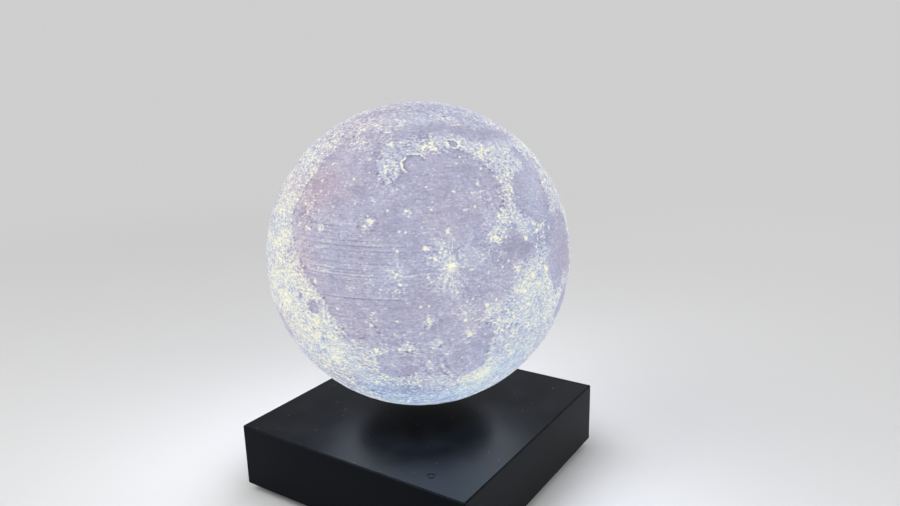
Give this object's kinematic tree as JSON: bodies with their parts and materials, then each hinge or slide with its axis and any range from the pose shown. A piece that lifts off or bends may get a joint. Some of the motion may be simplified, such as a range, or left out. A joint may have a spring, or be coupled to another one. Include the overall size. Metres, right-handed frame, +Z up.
{
  "type": "moon lamp",
  "caption": "Moon globe that glows, floats and turns above a square black base with a magnetic levitation drive and a supply inlet at the back.",
  "frame": {"origin": "on the table, under the centre of the square base (and of the moon, whose width sets the box)", "axes": "+Z up, +X to the right along the front side of the base, +Y to the back, where the supply inlet is"},
  "size_m": [0.15, 0.15, 0.1945],
  "materials": {
    "black_lacquer": "satin",
    "cover_black": "matte",
    "foot_rubber": "matte",
    "screw_steel": "satin",
    "tray_plastic": "satin",
    "bobbin_plastic": "satin",
    "copper_wire": "satin",
    "ring_ferrite": "matte",
    "yoke_iron": "satin",
    "magnet_nickel": "polished",
    "board_green": "satin",
    "board_white": "satin",
    "chip_black": "matte",
    "socket_plastic": "satin",
    "standoff_brass": "satin",
    "capacitor_can": "satin",
    "lead_insulation": "satin",
    "puck_plastic": "satin",
    "diffuser_milk": "satin",
    "moon_print": "matte",
    "led_white": "gloss",
    "led_warm": "gloss"
  },
  "bodies": {
    "base": {"base_housing": "black_lacquer", "bottom_cover": "cover_black", "foot_front_left": "foot_rubber", "foot_front_right": "foot_rubber", "foot_rear_left": "foot_rubber", "foot_rear_right": "foot_rubber", "cover_screws": "screw_steel", "module_tray": "tray_plastic", "tray_screws": "screw_steel", "transmitter_coil": "copper_wire", "magnet_ring": "ring_ferrite", "yoke_plate": "yoke_iron", "yoke_screws": "screw_steel", "electromagnet_core_1": "yoke_iron", "electromagnet_bobbin_1": "bobbin_plastic", "electromagnet_winding_1": "copper_wire", "electromagnet_core_2": "yoke_iron", "electromagnet_bobbin_2": "bobbin_plastic", "electromagnet_winding_2": "copper_wire", "electromagnet_core_3": "yoke_iron", "electromagnet_bobbin_3": "bobbin_plastic", "electromagnet_winding_3": "copper_wire", "electromagnet_core_4": "yoke_iron", "electromagnet_bobbin_4": "bobbin_plastic", "electromagnet_winding_4": "copper_wire", "hall_board": "board_green", "hall_sensors": "chip_black", "main_board": "board_green", "board_standoffs": "standoff_brass", "board_screws": "screw_steel", "controller_chip": "chip_black", "driver_chips": "chip_black", "power_inductor": "ring_ferrite", "board_capacitors": "capacitor_can", "board_sockets": "bobbin_plastic", "dc_jack_body": "socket_plastic", "dc_jack_pin": "standoff_brass", "touch_pad": "copper_wire", "touch_lead": "lead_insulation"},
    "float_magnet": {"levitation_magnet": "magnet_nickel"},
    "moon": {"moon_shell": "moon_print", "shell_collar": "puck_plastic", "float_cup": "puck_plastic", "magnet_retainer": "puck_plastic", "receiver_coil": "copper_wire", "receiver_board": "board_green", "receiver_screws": "screw_steel", "receiver_chips": "chip_black", "receiver_capacitors": "bobbin_plastic", "float_lid": "puck_plastic", "led_post": "puck_plastic", "led_board": "board_white", "white_leds": "led_white", "warm_leds": "led_warm", "led_leads": "lead_insulation", "led_diffuser": "diffuser_milk"}
  },
  "joints": [
    {"name": "moon_lift", "type": "slide", "parent": "base", "child": "float_magnet", "axis": [0, 0, 1], "range_m": [-0.0161, 0.12], "stiffness_N_per_m": 40, "springref_m": 0.0766},
    {"name": "moon_spin", "type": "hinge", "parent": "float_magnet", "child": "moon", "pos_m": [0, 0, 0.1195], "axis": [0, 0, 1], "continuous": true}
  ]
}
